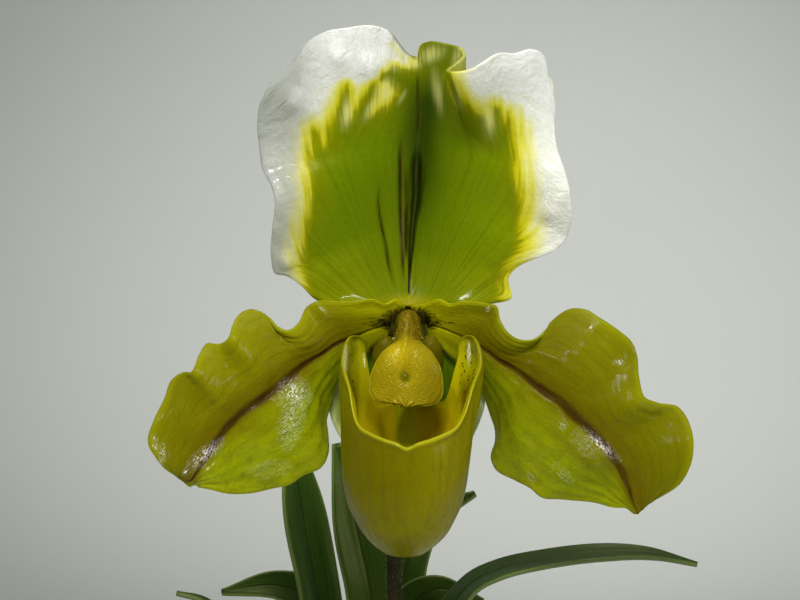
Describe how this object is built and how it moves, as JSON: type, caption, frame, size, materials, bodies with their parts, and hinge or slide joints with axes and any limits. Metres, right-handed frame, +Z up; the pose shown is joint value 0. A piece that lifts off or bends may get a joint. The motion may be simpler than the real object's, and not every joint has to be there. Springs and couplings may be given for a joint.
{
  "type": "paphiopedilum orchid in a pot",
  "caption": "Potted slipper orchid: upright sepal, two drooping waved petals and a pouch on a stalk above strap leaves.",
  "frame": {"origin": "centre of the pot's underside", "axes": "+Z up, the bloom faces -Y"},
  "size_m": [0.1172, 0.1184, 0.3453],
  "materials": {
    "clay": "unglazed fired clay",
    "bark": "rough bark chips",
    "crown": "satin living tissue",
    "leaf": "satin leaf",
    "stalk": "matt, finely haired",
    "ovary": "matt, finely haired",
    "bract": "satin",
    "synsepal": "waxy",
    "dorsal": "waxy, white margin round a green field",
    "petal": "waxy and glossy, maroon midrib",
    "pouch": "waxy and glossy",
    "column": "satin",
    "staminode": "sparkling, finely warty"
  },
  "bodies": {
    "root": {"pot": "clay", "bark_mix": "bark", "crown_1": "crown", "crown_2": "crown", "leaf_1": "leaf", "leaf_2": "leaf", "leaf_3": "leaf", "leaf_4": "leaf", "leaf_5": "leaf", "leaf_6": "leaf", "leaf_7": "leaf", "scape": "stalk", "ovary": "ovary", "bract": "bract", "synsepal": "synsepal", "dorsal_sepal": "dorsal", "petal_left": "petal", "petal_right": "petal", "pouch": "pouch", "column": "column", "staminode": "staminode"}
  },
  "joints": []
}
